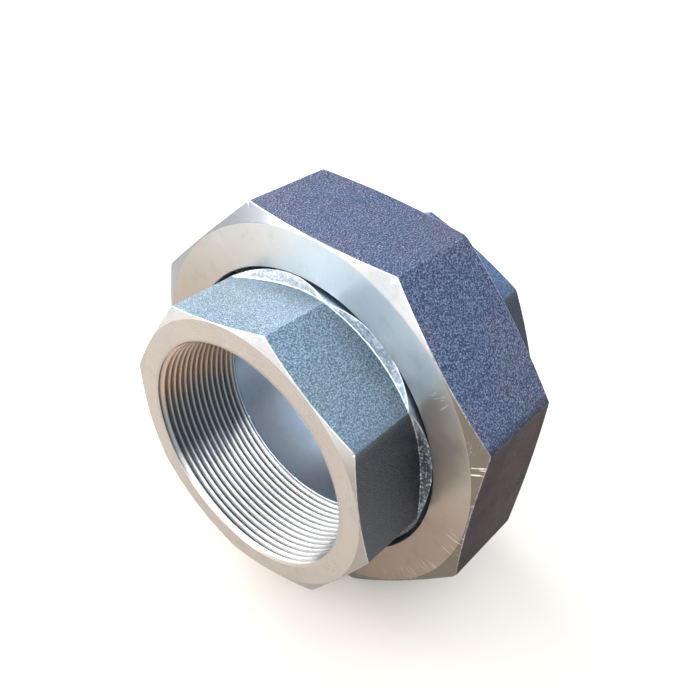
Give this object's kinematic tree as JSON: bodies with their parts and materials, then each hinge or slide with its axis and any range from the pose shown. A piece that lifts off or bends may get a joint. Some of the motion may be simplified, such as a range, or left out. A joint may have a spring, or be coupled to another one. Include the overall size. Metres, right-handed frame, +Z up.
{
  "type": "pipe union",
  "caption": "Forged steel threaded pipe union: octagonal tail piece, octagonal union nut and male end with a metal-to-metal seat and tapered internal pipe threads.",
  "frame": {"origin": "on the pipe axis, halfway between the two end faces, which is also the centre of the bounding box", "axes": "+X along the pipe axis from the tail piece to the male end, +Z up; the nut rests on its bottom flat, which faces -Z"},
  "size_m": [0.13, 0.185, 0.185],
  "materials": {
    "tail_steel": "blasted flats with turned end face, light blue-grey",
    "nut_steel": "dark blasted flats with a blue-violet oxide tint, turned bright faces",
    "male_steel": "blasted flats with turned end face, blue-grey"
  },
  "bodies": {
    "male_end": {"male_end": "male_steel"},
    "tail_piece": {"tail_piece": "tail_steel"},
    "union_nut": {"union_nut": "nut_steel"}
  },
  "joints": [
    {"name": "tail_slide", "type": "slide", "parent": "male_end", "child": "tail_piece", "axis": [-1, 0, 0], "range_m": [0, 0.0254]},
    {"name": "nut_spin", "type": "hinge", "parent": "tail_piece", "child": "union_nut", "pos_m": [0, 0, 0], "axis": [-1, 0, 0], "range_deg": [0, 2880]}
  ],
  "couplings": [
    {"joint": "tail_slide", "follows": "nut_spin", "m_per_rad": 0.00050532}
  ]
}
